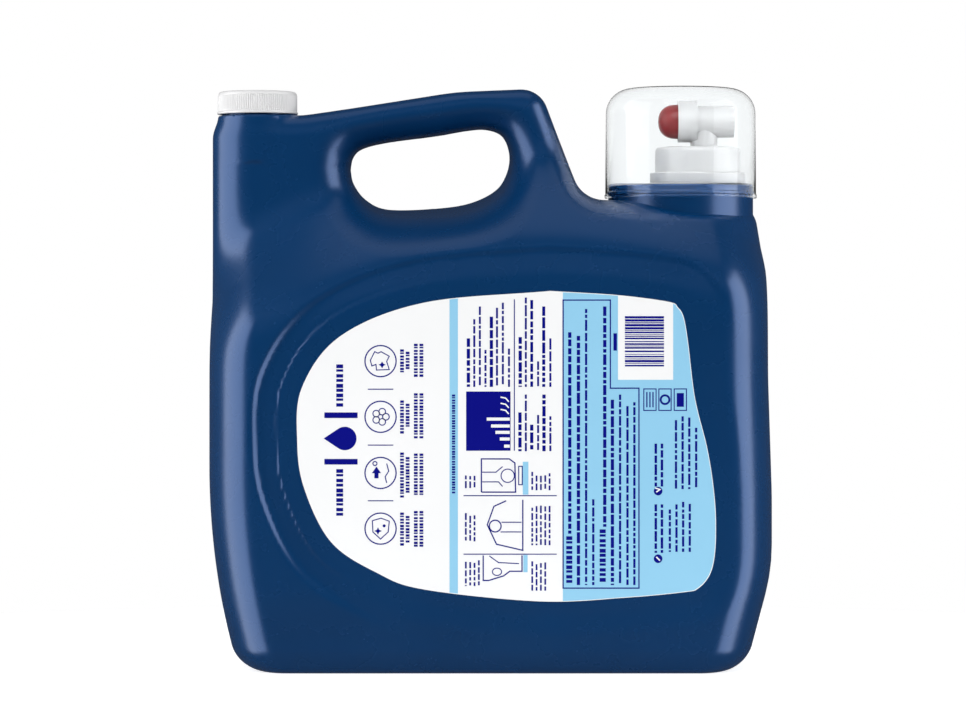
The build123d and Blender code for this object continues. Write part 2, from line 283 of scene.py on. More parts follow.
def recess(x, z):
    """The flat label panel, and the groove that runs round its left and top."""
    away = label_grid.at(x, z)
    angle = np.degrees(np.arctan2(z - 118, x - 5))
    angle = np.where(angle < -90, angle + 360, angle)
    strength = ease((angle - 24) / 22) * (1 - ease((angle - 192) / 58))
    ledge = ease((angle - 100) / 45) * (1 - ease((angle - 206) / 30))
    sharp_ledge = ease((away - groove_offset + 13.2) / 2.2)
    soft_ledge = ease((away - groove_offset + 15) / 9)
    floor = panel_recess + 0.9 * (ledge * sharp_ledge + (1 - ledge) * soft_ledge)
    floor = floor + 0.6 * ease((away - groove_offset + 10.5) / 6)
    grooved = floor * (1 - ease((away - groove_offset + 3.5) / 5.2))
    plain = panel_recess * (1 - ease((away - 5) / 14))
    return strength * grooved + (1 - strength) * plain


def plane_fields(x, z):
    """What the body field needs that depends only on x and z."""
    depth = plain_half_depth(x, z)
    low = np.maximum(0.0, left_foot_z - z)
    left = -half_width + left_foot_sweep - np.sqrt(left_foot_sweep ** 2 - low ** 2)
    right = np.interp(z, right_path[:, 1], right_path[:, 0])
    side = np.maximum(left - x, x - right)
    step = 0.5
    slope_z = (plain_half_depth(x, z + step) - plain_half_depth(x, z - step)) / (2 * step)
    slope_x = (plain_half_depth(x + step, z) - plain_half_depth(x - step, z)) / (2 * step)
    return {
        "x": x, "z": z, "depth": depth - recess(x, z), "side": side,
        "width": corner_width + (tower_corner_width - corner_width) * ease((z - 190) / 60) * (x < 0),
        "reach": np.minimum(corner_depth, 0.97 * depth),
        "steep": np.sqrt(1 + slope_z ** 2 + slope_x ** 2),
        "top": top_grid.at(x, z), "hole": hole_grid.at(x, z),
    }


def body_field(y, f):
    flat = np.abs(y)
    u = np.maximum(0.0, 1 + f["side"] / f["width"])
    v = np.maximum(0.0, 1 + (flat - f["depth"]) / f["reach"])
    q = np.hypot(u, v)
    slope = np.hypot(u / f["width"], v * f["steep"] / f["reach"]) / np.maximum(q, 1e-6)
    inner = np.maximum(f["side"], (flat - f["depth"]) / f["steep"])
    field = np.where(q > 0.05, (q - 1) / np.maximum(slope, 1e-6), inner)
    field = round_and(field, f["top"], rim_radius)
    field = round_and(field, -f["z"], foot_radius)
    draft = radians(hole_draft)
    field = round_and(field, (flat * tan(draft) - f["hole"]) * cos(draft), hole_rim_radius)
    from_vent = np.hypot(f["x"] - vent_x, y)
    pedestal = round_and(from_vent - vent_pedestal_radius, f["z"] - tower_z - 0.3, 1.2)
    pedestal = np.maximum(pedestal, 262 - f["z"])
    field = soft_or(field, pedestal, 3.0)
    pocket = np.maximum(from_vent - vent_bore_radius, pocket_floor_z - f["z"])
    return np.maximum(field, -pocket)


def field_at(points):
    return body_field(points[:, 1], plane_fields(points[:, 0], points[:, 2]))


def field_normals(points, step=0.35):
    normals = np.empty_like(points)
    for axis in range(3):
        shift = np.zeros(3)
        shift[axis] = step
        normals[:, axis] = (field_at(points + shift) - field_at(points - shift)) / (2 * step)
    return normals


def body_surface():
    """Faces of the body by surface nets, then settled on the field."""
    low = np.array([-half_width, -half_depth, 0.0]) - 2.3 * cell
    count = [int(np.ceil(size / cell)) + 6 for size in (2 * half_width, 2 * half_depth, bottle_high[2])]
    axes = [low[i] + cell * np.arange(count[i]) for i in range(3)]
    x, z = np.meshgrid(axes[0], axes[2], indexing="ij")
    plane = plane_fields(x, z)
    values = np.stack([body_field(y, plane) for y in axes[1]], axis=1)
    inside = values < 0

    total = np.zeros([n - 1 for n in count] + [3])
    crossings = np.zeros([n - 1 for n in count])
    corners = [(i, j, k) for i in (0, 1) for j in (0, 1) for k in (0, 1)]
    spans = [n - 1 for n in count]

    def corner_values(c):
        return values[c[0]:c[0] + spans[0], c[1]:c[1] + spans[1], c[2]:c[2] + spans[2]]

    for a in corners:
        for axis in range(3):
            if a[axis]:
                continue
            b = list(a)
            b[axis] = 1
            va, vb = corner_values(a), corner_values(b)
            crossed = (va < 0) != (vb < 0)
            share = np.where(crossed, va / np.where(crossed, va - vb, 1), 0)
            for i in range(3):
                total[..., i] += np.where(crossed, a[i] + (share if i == axis else 0), 0)
            crossings += crossed
    used = crossings > 0
    index = np.full(used.shape, -1)
    index[used] = np.arange(used.sum())
    cells = np.argwhere(used)
    points = low + cell * (cells + total[used] / crossings[used][:, None])

    faces = []
    for axis in range(3):
        other = [i for i in range(3) if i != axis]
        head = [slice(1, -1)] * 3
        head[axis] = slice(0, -1)
        tail = [slice(1, -1)] * 3
        tail[axis] = slice(1, None)
        starts, ends = inside[tuple(head)], inside[tuple(tail)]
        for entering in (True, False):
            found = np.argwhere((starts == entering) & (ends != entering))
            found[:, other[0]] += 1
            found[:, other[1]] += 1
            quad = []
            for du, dv in ((1, 1), (0, 1), (0, 0), (1, 0)):
                at = found.copy()
                at[:, other[0]] -= du
                at[:, other[1]] -= dv
                quad.append(index[at[:, 0], at[:, 1], at[:, 2]])
            flip = entering if axis == 1 else not entering
            faces.append(np.stack(quad[::-1] if flip else quad, axis=1))
    faces = np.vstack(faces)

    for _ in range(4):
        normals = field_normals(points)
        size = np.maximum((normals ** 2).sum(axis=1), 0.05)
        move = (field_at(points) / size)[:, None] * normals
        length = np.linalg.norm(move, axis=1, keepdims=True)
        points -= move * np.minimum(1, 0.9 * cell / np.maximum(length, 1e-9))
    normals = field_normals(points)
    return points, faces, normals / np.linalg.norm(normals, axis=1, keepdims=True)


# --- mesh helpers ------------------------------------------------------------------------------------
def add_object(name, mesh, body, material, replaces=()):
    piece = bpy.data.objects.new(name, mesh)
    bpy.context.scene.collection.objects.link(piece)
    mesh.materials.append(material)
    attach(piece, body)
    if replaces:
        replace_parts(piece, *replaces)
    return piece


def mesh_from(name, points, faces, smooth=True):
    mesh = bpy.data.meshes.new(name)
    mesh.from_pydata([tuple(p) for p in np.asarray(points) * MM], [], [tuple(f) for f in faces])
    mesh.polygons.foreach_set("use_smooth", [smooth] * len(mesh.polygons))
    mesh.update()
    return mesh


def lathe_points(profile, segments, place, ripple=None):
    """Points and faces of a closed profile of (radius, height) turned about its axis."""
    points, faces = [], []
    count = len(profile)
    for s in range(segments):
        angle = 2 * pi * s / segments
        for k, (r, h) in enumerate(profile):
            grown = r + (ripple(angle, k) if ripple else 0.0)
            points.append(place(grown * cos(angle), grown * sin(angle), h))
    for s in range(segments):
        here, there = s * count, ((s + 1) % segments) * count
        for k in range(count):
            following = (k + 1) % count
            faces.append((here + k, there + k, there + following, here + following))
    return points, faces


def tidy_mesh(mesh, sharp=35):
    """Weld the poles, face outwards and shade smooth with crisp edges."""
    work = bmesh.new()
    work.from_mesh(mesh)
    bmesh.ops.remove_doubles(work, verts=work.verts, dist=1e-6)
    bmesh.ops.dissolve_degenerate(work, edges=work.edges, dist=1e-6)
    bmesh.ops.recalc_face_normals(work, faces=work.faces)
    for edge in work.edges:
        if len(edge.link_faces) == 2:
            edge.smooth = edge.calc_face_angle(0) < radians(sharp)
    work.to_mesh(mesh)
    work.free()
    mesh.update()


def rounded_profile(points, radii):
    """A closed profile whose corners have the given radii."""
    points = [np.array(p, float) for p in points]
    count = len(points)
    out = []
    for i, radius in enumerate(radii):
        before, corner, after = points[i - 1], points[i], points[(i + 1) % count]
        if radius <= 0:
            out.append(corner)
            continue
        come, leave = corner - before, after - corner
        come, leave = come / np.linalg.norm(come), leave / np.linalg.norm(leave)
        turn = np.arccos(np.clip(come @ leave, -1, 1))
        start = corner - come * radius * tan(turn / 2)
        end = corner + leave * radius * tan(turn / 2)
        steps = max(2, int(turn / 0.26))
        for k in range(steps + 1):
            t = k / steps
            bend = (1 - t) ** 2 * start + 2 * t * (1 - t) * corner + t ** 2 * end
            out.append(bend)
    return [(max(p[0], 0.0), p[1]) for p in out]


def upright(x, y=0.0):
    return lambda u, v, h: (x + u, y + v, h)


def along_x(y, z):
    return lambda u, v, h: (h, y + u, z + v)


def lathe(name, profile, place, body, material, segments=128, replaces=(), ripple=None):
    points, faces = lathe_points(profile, segments, place, ripple)
    mesh = mesh_from(name, points, faces)
    tidy_mesh(mesh)
    return add_object(name, mesh, body, material, replaces)


# --- materials -------------------------------------------------------------------------------------
def node_material(name, colour, roughness, **sockets):
    material = bpy.data.materials.new(name)
    material.use_nodes = True
    shader = material.node_tree.nodes["Principled BSDF"]
    shader.inputs["Base Color"].default_value = (*colour, 1)
    shader.inputs["Roughness"].default_value = roughness
    for socket, value in sockets.items():
        shader.inputs[socket.replace("_", " ")].default_value = value
    return material, material.node_tree, shader


def add_noise(tree, scale, detail=3.0):
    place = tree.nodes.new("ShaderNodeTexCoord")
    noise = tree.nodes.new("ShaderNodeTexNoise")
    noise.inputs["Scale"].default_value = scale
    noise.inputs["Detail"].default_value = detail
    tree.links.new(place.outputs["Object"], noise.inputs["Vector"])
    return noise


def vary_colour(tree, shader, noise, dark, light):
    ramp = tree.nodes.new("ShaderNodeValToRGB")
    ramp.color_ramp.elements[0].position = 0.3
    ramp.color_ramp.elements[1].position = 0.7
    ramp.color_ramp.elements[0].color = (*dark, 1)
    ramp.color_ramp.elements[1].color = (*light, 1)
    tree.links.new(noise.outputs["Fac"], ramp.inputs["Fac"])
    tree.links.new(ramp.outputs["Color"], shader.inputs["Base Color"])


def vary_roughness(tree, shader, noise, low, high):
    spread = tree.nodes.new("ShaderNodeMapRange")
    spread.inputs["To Min"].default_value = low
    spread.inputs["To Max"].default_value = high
    tree.links.new(noise.outputs["Fac"], spread.inputs["Value"])
    tree.links.new(spread.outputs["Result"], shader.inputs["Roughness"])


def add_bump(tree, shader, noise, strength, distance):
    bump = tree.nodes.new("ShaderNodeBump")
    bump.inputs["Strength"].default_value = strength
    bump.inputs["Distance"].default_value = distance
    tree.links.new(noise.outputs["Fac"], bump.inputs["Height"])
    tree.links.new(bump.outputs["Normal"], shader.inputs["Normal"])


def moulded_plastic(name, dark, light, roughness, grain=900.0, bump=0.06, depth=0.00008, **sockets):
    """Moulded plastic: slow colour drift, uneven gloss and a fine skin."""
    material, tree, shader = node_material(name, light, roughness, **sockets)
    vary_colour(tree, shader, add_noise(tree, 14.0), dark, light)
    vary_roughness(tree, shader, add_noise(tree, 45.0, 4.0), roughness * 0.88, roughness * 1.14)
    add_bump(tree, shader, add_noise(tree, grain, 2.0), bump, depth)
    return material


def clear_plastic():
    material, tree, shader = node_material("clear_plastic", (0.97, 0.985, 0.99), 0.03,
                                           IOR=1.2, Transmission_Weight=1.0)
    vary_roughness(tree, shader, add_noise(tree, 30.0), 0.02, 0.05)
    add_bump(tree, shader, add_noise(tree, 60.0, 1.0), 0.05, 0.0002)
    return material


blue = moulded_plastic("blue_bottle", (0.0004, 0.025, 0.088), (0.0006, 0.028, 0.098), 0.27,
                       Specular_IOR_Level=1.0, Specular_Tint=(0.42, 0.58, 1.0, 1))
white = moulded_plastic("white_cap", (0.58, 0.58, 0.585), (0.61, 0.61, 0.615), 0.38, depth=0.00005)
# The tap's white is a darker copy of the cap's white plastic: painted shade on the tap, its closure,
# ring and stem.
shaded_tap_white = moulded_plastic("white_tap_painted_shade", (0.46, 0.46, 0.465), (0.50, 0.50, 0.505), 0.33, depth=0.00005)
red = moulded_plastic("red_button", (0.17, 0.013, 0.015), (0.20, 0.016, 0.018), 0.36, depth=0.00005,
                      Specular_IOR_Level=0.3)
foam = moulded_plastic("foam_liner", (0.70, 0.71, 0.72), (0.78, 0.79, 0.80), 0.75, 2200, 0.5)
rubber = moulded_plastic("seal_rubber", (0.03, 0.03, 0.03), (0.05, 0.05, 0.05), 0.65)
steel = moulded_plastic("spring_steel", (0.5, 0.5, 0.51), (0.6, 0.6, 0.61), 0.3, Metallic=1.0)
film = moulded_plastic("label_film", (0.72, 0.725, 0.73), (0.74, 0.745, 0.75), 0.42, 500, 0.05, 0.00004,
                       Specular_IOR_Level=0.25)
clear = clear_plastic()
ink_navy = moulded_plastic("ink_navy", (0.0003, 0.001, 0.165), (0.0005, 0.002, 0.185), 0.5,
                           Specular_IOR_Level=0.12)
ink_blue = moulded_plastic("ink_light_blue", (0.225, 0.475, 0.655), (0.24, 0.495, 0.675), 0.44,
                           Specular_IOR_Level=0.25)
ink_white = moulded_plastic("ink_white", (0.72, 0.725, 0.73), (0.74, 0.745, 0.75), 0.42)

cad_finishes = {
    "back_label": film, "front_label": film, "vent_cap_liner": foam, "tap_collar": shaded_tap_white,
    "neck_gasket": rubber, "tap_body": shaded_tap_white, "button_ring": shaded_tap_white, "push_button": red,
    "valve_stem": shaded_tap_white, "valve_seal": rubber, "stem_o_ring": rubber,
}


def finish_cad_nodes():
    for node, material in cad_finishes.items():
        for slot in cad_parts[node].material_slots:
            slot.material = material


# --- pieces ------------------------------------------------------------------------------------------
def make_body():
    points, faces, normals = body_surface()
    mesh = mesh_from("bottle_shell", points, faces)
    mesh.normals_split_custom_set_from_vertices([tuple(n) for n in normals])
    add_object("bottle_shell", mesh, "body", blue, ["bottle"])


def make_vent_neck():
    high = cap_high[2] - 2.5
    profile = rounded_profile(
        [(vent_bore_radius, 278), (vent_neck_radius, 278), (vent_neck_radius, high),
         (vent_bore_radius, high)], [0, 0, 0.5, 0.4])
    lathe("vent_neck", profile, upright(vent_x), "body", blue)


def make_collar():
    radius = (cup_high[0] - cup_low[0]) / 2 - 1.9
    top = closure_low[2] - 0.5
    bead = cup_low[2] + 1.0
    profile = rounded_profile(
        [(19.0, 226), (radius, 226), (radius, bead), (radius + 0.5, bead + 0.5),
         (radius + 0.5, bead + 1.6), (radius, bead + 2.1), (radius, top), (19.0, top)],
        [0, 0, 0.2, 0.3, 0.3, 0.2, 1.0, 0])
    lathe("cup_collar", profile, upright(collar_x), "body", blue)


def make_vent_cap():
    low, high = cap_low[2], cap_high[2]
    bead = (cap_high[0] - cap_low[0]) / 2
    radius, inner = bead - 0.5, bead - 1.8
    rib_count, rib_depth = 110, 0.32
    side = np.linspace(low + 1.8, high - 2.2, 5)
    outline = [(inner, low), (bead - 0.3, low), (bead, low + 0.3), (bead, low + 1.0),
               (radius, low + 1.3)]
    ribbed = set(range(len(outline), len(outline) + len(side)))
    outline += [(radius, h) for h in side]
    corner = [(radius - 2 * (1 - cos(t)), high - 2 + 2 * sin(t)) for t in np.linspace(0, pi / 2, 7)]
    outline += corner + [(radius - 4, high - 0.15), (0, high - 0.15), (0, high - 1.5),
                         (inner, high - 1.5)]

    def ripple(angle, k):
        if k not in ribbed:
            return 0.0
        wave = 0.5 + 0.5 * cos(angle * rib_count)
        return rib_depth * (wave ** 0.6 - 0.6)

    lathe("ribbed_vent_cap", outline, upright(vent_x), "vent_screw", white,
          segments=rib_count * 8, replaces=["vent_cap"], ripple=ripple)


def make_cup():
    low, high = cup_low[2], cup_high[2]
    rim = (cup_high[0] - cup_low[0]) / 2
    crown, corner, wall, dome = rim - 0.7, 13.0, 1.1, 0.8

    def shell(skin):
        top = high - skin
        bend = corner - skin
        arc = [(crown - skin - bend * (1 - cos(t)), top - dome - bend * (1 - sin(t)))
               for t in np.linspace(0, pi / 2, 14)]
        flat = [(crown - skin - bend - (crown - skin - bend) * t, top - dome * (1 - t * (2 - t)))
                for t in np.linspace(0.15, 1, 7)]
        return arc + flat

    outer = [(rim - 0.25, low), (rim, low + 0.3), (rim, low + 1.6), (rim - 0.35, low + 2.2)] + shell(0)
    inner = shell(wall)[::-1]
    inner += [(rim - wall - 0.1, low + 2.4), (rim - wall, low + 0.3), (rim - wall + 0.25, low)]
    lathe("clear_dosing_cup", outer + inner, upright(collar_x), "measuring_cup", clear,
          segments=160, replaces=["dosing_cup"])


def make_closure():
    """The tap's closure: a skirt with a narrower drum on top, as the tap's post leaves it."""
    low, high = closure_low[2], closure_high[2]
    skirt = (closure_high[0] - closure_low[0]) / 2
    drum, skirt_z = skirt - 2.7, low + 5.5
    profile = rounded_profile(
        [(19.4, low), (skirt, low), (skirt, skirt_z), (drum, skirt_z), (drum, high), (7.3, high),
         (7.3, high - 1.7), (19.4, high - 1.7)], [0, 0.4, 0.8, 0.5, 2.9, 0.5, 0, 0])
    lathe("tap_closure", profile, upright(tap_x), "body", shaded_tap_white,
          replaces=["tap_collar"])


def make_button():
    """The thimble-shaped button that stands out of its ring."""
    radius, wall, lip = 9.3, 1.4, 0.6
    base = button_high[0] - 1.6
    length = base - button_low[0]
    rise = np.linspace(0, 1, 22) ** 0.6
    outer = [(radius * (1 - t ** 2.7) ** 0.46, base - length * t) for t in rise]
    inner = [((radius - wall) * (1 - t ** 2.7) ** 0.46, base - (length - wall) * t) for t in rise[::-1]]
    rim = [(radius - wall, base + lip), (radius + lip, base + lip), (radius + lip, base)]
    profile = outer + inner + rim
    lathe("press_button", profile, along_x(0, barrel_z), "tap_button", red,
          replaces=["push_button"], segments=96)


def make_return_spring():
    """The coil behind the button."""
    turns, steps, sides, radius, wire = 4, 160, 10, 6.0, 0.45
    travel, length = 4.0, spring_high[0] - spring_low[0]
    rounds = [2 * pi * k / sides for k in range(sides)]
    points, faces = [], []
    for i in range(steps + 1):
        angle = 2 * pi * turns * i / steps
        middle_x = spring_low[0] + wire + (length - 2 * wire) * i / steps
        for t in rounds:
            out = radius + wire * cos(t)
            points.append((middle_x + wire * sin(t), out * cos(angle), barrel_z + out * sin(angle)))
    for i in range(steps):
        here, there = i * sides, (i + 1) * sides
        for k in range(sides):
            following = (k + 1) % sides
            faces.append((here + k, there + k, there + following, here + following))
    faces += [tuple(range(sides)), tuple(range(steps * sides, (steps + 1) * sides))]
    mesh = mesh_from("return_coil", points, faces)
    tidy_mesh(mesh)
    coil = add_object("return_coil", mesh, "body", steel, replaces=["return_spring"])
    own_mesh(coil)


# --- printing on the labels --------------------------------------------------------------------------
# The artwork lies on a grid of small steps: u runs to the right and v runs down from the top left.
art_step = 0.1287
art_left, art_top = label_low[0] + 11.4, label_high[2] + 3.1


class Print:
    """Thin raised areas of one ink on one side of the bottle."""

    def __init__(self, name, ink, level, side=-1):
        self.name, self.ink, self.side = name, ink, side
        self.base = half_depth - panel_recess + 0.15 + 0.01
        self.top = self.base + 0.02 + level
        self.points, self.faces = [], []

    def place(self, u, v):
        return art_left + art_step * u, art_top - art_step * v

    def solid(self, outline):
        """A closed prism over a flat outline given in millimetres."""
        start, count = len(self.points), len(outline)
        for depth in (self.base, self.top):
            self.points += [(x, self.side * depth, z) for x, z in outline]
        lower = list(range(start, start + count))
        upper = [i + count for i in lower]
        self.faces += [tuple(lower[::-1]), tuple(upper)]
        for i in range(count):
            j = (i + 1) % count
            self.faces.append((lower[i], lower[j], upper[j], upper[i]))

    def area(self, corners):
        self.solid([self.place(u, v) for u, v in corners])

    def box(self, u0, v0, u1, v1):
        self.area([(u0, v0), (u0, v1), (u1, v1), (u1, v0)])

    def disc(self, u, v, radius, count=28):
        turns = [2 * pi * i / count for i in range(count)]
        self.area([(u + radius * cos(t), v + radius * sin(t)) for t in turns])

    def line(self, points, width=4.0, loop=False):
        """A stroke of even width, mitred at its corners, as a row of short prisms."""
        points = [np.array(p, float) for p in points]
        count = len(points)
        ends = []
        for i, here in enumerate(points):
            before = points[i - 1] if (i or loop) else here
            after = points[(i + 1) % count] if (i + 1 < count or loop) else here
            into, out = here - before, after - here
            into = into / max(np.linalg.norm(into), 1e-9)
            out = out / max(np.linalg.norm(out), 1e-9)
            run = (into + out) / max(np.linalg.norm(into + out), 1e-9)
            across = np.array([-run[1], run[0]])
            lead = out if np.any(out) else into
            stretch = max(0.45, abs(across @ np.array([-lead[1], lead[0]])))
            ends.append((here + across * width / 2 / stretch, here - across * width / 2 / stretch))
        for i in range(count if loop else count - 1):
            (a, b), (c, d) = ends[i], ends[(i + 1) % count]
            self.area([a, b, d, c])

    def ring(self, u, v, radius, width=5.0, flat=1.0, count=36):
        turns = [2 * pi * i / count for i in range(count)]
        self.line([(u + radius * cos(t), v + flat * radius * sin(t)) for t in turns], width, True)

    def words(self, u, v0, v1, height, rng, longest=46):
        """One line of unreadable print, set upright, broken into words."""
        v = v0
        while v < v1 - 4:
            end = min(v + rng.uniform(12, longest), v1)
            self.box(u - height / 2, v, u + height / 2, end)
            v = end + rng.uniform(5, 8)

    def blocks(self, u, v0, v1, height, pitch):
        """A line of bold print as a row of blocks of slightly uneven length."""
        for i, v in enumerate(np.arange(v0, v1 - pitch * 0.6, pitch)):
            length = pitch * (0.78, 0.5, 0.7, 0.6, 0.82, 0.66)[i % 6]
            self.box(u - height / 2, v, u + height / 2, v + length)

    def finish(self):
        mesh = mesh_from(self.name, self.points, self.faces, smooth=False)
        tidy_mesh(mesh, 20)
        return add_object(self.name, mesh, "body", self.ink)


def make_label(name, node, side):
    """The printed film itself, with a full edge."""
    sheet = Print(name, film, 0.0, side)
    sheet.base, sheet.top = half_depth - panel_recess, half_depth - panel_recess + 0.15
    sheet.solid(label_outline())
    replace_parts(sheet.finish(), node)


def label_part(least_x, most_x, inset=0.0):
    """The piece of the label's outline between two upright lines."""
    outline = label_outline()
    centre = outline.mean(axis=0)
    outline = centre + (outline - centre) * (1 - inset / 70)
    for sign, limit in ((1, least_x), (-1, most_x)):
        kept = []
        for a, b in zip(outline, np.roll(outline, -1, axis=0)):
            a_in, b_in = sign * (a[0] - limit) >= 0, sign * (b[0] - limit) >= 0
            if a_in:
                kept.append(a)
            if a_in != b_in:
                share = (limit - a[0]) / (b[0] - a[0])
                kept.append(a + share * (b - a))
        outline = np.array(kept)
    return outline


def draw_benefit_icons(ink):
    """Four round icons with short rules between them: a shirt, a flower, an arrow and a shield."""
    for v in (299, 517, 737, 955):
        ink.ring(238, v, 61)
    for v in (409, 628, 846):
        ink.box(188, v - 2, 288, v + 2)
    shirt = [(215, 262), (228, 268), (240, 262), (272, 280), (262, 300), (272, 332), (222, 334),
             (220, 312), (204, 318), (198, 296)]
    ink.line(shirt, 4, True)
    ink.area([(244, 300), (249, 309), (258, 313), (249, 318), (244, 327), (239, 318), (230, 313),
              (239, 309)])
    for turn in range(5):
        t = 2 * pi * turn / 5
        ink.ring(238 + 21 * cos(t), 517 + 21 * sin(t), 13, 4, count=16)
    ink.area([(222, 712), (240, 738), (230, 738), (230, 758), (214, 758), (214, 738), (204, 738)])
    ink.line([(262, 700), (270, 730), (256, 752), (262, 776)], 4)
    ink.ring(216, 700, 8, 4, count=14)
    ink.line([(206, 924), (240, 914), (272, 926), (268, 968), (238, 996), (208, 968)], 4, True)
    ink.area([(228, 950), (233, 960), (243, 964), (233, 969), (228, 979), (223, 969), (213, 964),
              (223, 960)])
    ink.disc(252, 944, 6, 12)


def draw_drop(ink, u, v, size, turned=False):
    """A plain droplet, with its point to the left or, when turned, upwards."""
    drop = [(-1.8, 0.0)]
    for i in range(29):
        t = -0.68 * pi + 1.36 * pi * i / 28
        drop.append((cos(t), sin(t)))
    if turned:
        drop = [(-b, a) for a, b in drop]
    ink.area([(u + size * a, v + size * b) for a, b in drop])


def draw_heading(ink):
    """A bold droplet between two lines of blocks, where the real label has its headline."""
    draw_drop(ink, 98, 602, 46)
    ink.box(18, 500, 148, 522)
    ink.box(18, 682, 148, 704)
    ink.blocks(78, 312, 488, 27, 19)
    ink.blocks(78, 722, 914, 27, 19)


def draw_instructions(ink, white_ink, sky_ink, rng):
    """The middle column: lines of print, a filled chart and three outline drawings."""
    for v, half, longer in ((299, 46, 68), (517, 64, 92), (745, 88, 84), (958, 66, 72)):
        for u, reach in ((322, half), (344, half * 0.8), (376, longer), (398, longer)):
            ink.blocks(u, v - reach, v + reach, 15, 12)
    ink.blocks(524, 430, 822, 13, 10)
    lines = [(582, 210, 13), (605, 135, 8), (627, 85, 8), (649, 255, 8), (672, 125, 13), (694, 90, 8),
             (717, 70, 8), (741, 250, 8), (785, 205, 13), (807, 50, 8), (830, 60, 11), (855, 300, 8),
             (877, 85, 12), (903, 210, 8)]
    for u, v, height in lines:
        ink.words(u, v, 400, height, rng)
    short_lines = ((784, 500, 13), (807, 430, 8), (830, 548, 13), (855, 510, 8), (878, 430, 13),
                   (903, 515, 8))
    for u, v, height in short_lines:
        ink.words(u, v, 652, height, rng)
    ink.box(760, 57, 764, 650)
    ink.box(573, 418, 747, 650)
    for index, v in enumerate((632, 604, 578, 553, 526)):
        white_ink.box(722 - 17 * index, v - 6, 744, v + 6)
    for u, v in ((704, 494), (704, 470), (704, 446)):
        white_ink.line([(u + 36, v + 12), (u + 24, v - 2), (u + 4, v - 6)], 5)
    for v in (826, 1055):
        ink.box(563, v - 2, 928, v + 2)
    ink.line([(633, 812), (633, 682), (742, 682), (764, 698), (767, 812), (633, 812)], 5)
    ink.line([(636, 734), (690, 734), (716, 712)], 4)
    ink.line([(636, 772), (700, 772), (716, 790)], 4)
    ink.ring(736, 748, 26, 4)
    sky_ink.box(795, 693, 817, 822)
    ink.line([(779, 711), (779, 783), (793, 783), (793, 711)], 4, True)
    ink.line([(795, 842), (795, 1040), (692, 1016), (656, 940), (682, 868), (730, 846)], 5)
    ink.ring(687, 945, 23, 5)
    ink.line([(712, 930), (790, 930)], 4)
    ink.line([(708, 968), (790, 968)], 4)
    sky_ink.box(797, 1058, 814, 1126)
    ink.line([(640, 1060), (640, 1158), (662, 1158), (720, 1140), (744, 1122), (792, 1122),
              (792, 1060)], 5)
    ink.ring(694, 1124, 18, 4, flat=0.8)
    ink.line([(664, 1062), (700, 1088), (780, 1092)], 4)
    for first, last, v0, v1 in ((572, 608, 732, 800), (832, 905, 728, 805), (572, 620, 885, 1010),
                                (832, 905, 862, 1020), (572, 625, 1078, 1180), (832, 888, 1078, 1198)):
        for u in np.arange(first, last + 1, 17):
            ink.words(u, v0 + rng.uniform(0, 24), v1, 7, rng, 30)


def draw_small_print(ink, white_ink, rng):
    """The blue field on the right: a framed block of print, bars and small marks."""
    frame_line = [(953, 60), (1138, 60), (1138, 405), (1250, 405), (1250, 1188), (953, 1188)]
    ink.line(frame_line, 5, True)
    ink.blocks(977, 985, 1176, 24, 19)
    ink.words(979, 186, 975, 13, rng)
    ink.words(1013, 200, 1176, 13, rng)
    ink.words(1043, 95, 1176, 9, rng)
    ink.words(1071, 840, 1176, 9, rng)
    ink.blocks(1108, 958, 1176, 24, 19)
    ink.words(1116, 85, 948, 13, rng)
    for u, v, height in ((1146, 450, 13), (1176, 430, 9), (1205, 475, 9), (1232, 460, 9)):
        ink.words(u, v, 1176, height, rng)
    v = 123.0
    while v < 321:
        thick = float(rng.choice([2.5, 4.0, 6.5, 9.0]))
        ink.box(1195, v, 1348, v + thick)
        v += thick + float(rng.choice([3.0, 4.5, 7.0]))
    ink.box(1150, 190, 1164, 258)
    for u in (1293, 1352, 1412):
        ink.line([(u - 24, 408), (u + 24, 408), (u + 24, 492), (u - 24, 492)], 4, True)
    ink.ring(1352, 450, 17, 8)
    ink.box(1398, 424, 1426, 478)
    for u in (1281, 1293, 1305):
        ink.box(u - 2.5, 420, u + 2.5, 480)
    for v in (808, 1073):
        ink.disc(1325, v, 17)
    white_ink.line([(1318, 812), (1332, 802), (1314, 796)][::-1], 5)
    white_ink.line([(1318, 1066), (1332, 1080)], 5)
    for u in (1316, 1340):
        ink.words(u, 622, 790, 10, rng)
        ink.words(u, 860, 1050, 10, rng)
    for u, v in ((1395, 530), (1421, 515), (1447, 520), (1474, 560)):
        ink.words(u, v, 800, 9, rng)
    for u, v in ((1371, 880), (1397, 860), (1423, 850), (1449, 858)):
        ink.words(u, v, 1046, 9, rng)


def print_back_label():
    rng = np.random.default_rng(7)
    sky_ink = Print("back_print_sky", ink_blue, 0.0)
    white_ink = Print("back_print_white", ink_white, 0.06)
    ink = Print("back_print_navy", ink_navy, 0.03)
    for u0, u1 in ((508, 541), (952, 1168)):
        left, right = ink.place(u0, 0)[0], ink.place(u1, 0)[0]
        sky_ink.solid(label_part(left, right, 0.3))
    left, right = ink.place(1168, 0)[0], ink.place(1384, 0)[0]
    lower = [p for p in label_part(left, right, 0.3)]
    notch = ink.place(0, 372)[1]
    sky_ink.solid([(x, min(z, notch)) for x, z in lower])
    sky_ink.solid(label_part(right, half_width, 0.3))
    draw_heading(ink)
    draw_benefit_icons(ink)
    draw_instructions(ink, white_ink, sky_ink, rng)
    draw_small_print(ink, white_ink, rng)
    for piece in (sky_ink, ink, white_ink):
        piece.finish()


def below_wave(outline, level, height, shift):
    """The lower part of the label, up to a rolling line."""
    def wave(x):
        return level + height * sin((x + shift) / 38)

    kept = [p for p in outline if p[1] < wave(p[0])]
    line = np.linspace(kept[-1][0], kept[0][0], 60)[1:-1]
    return kept + [(x, wave(x)) for x in line]


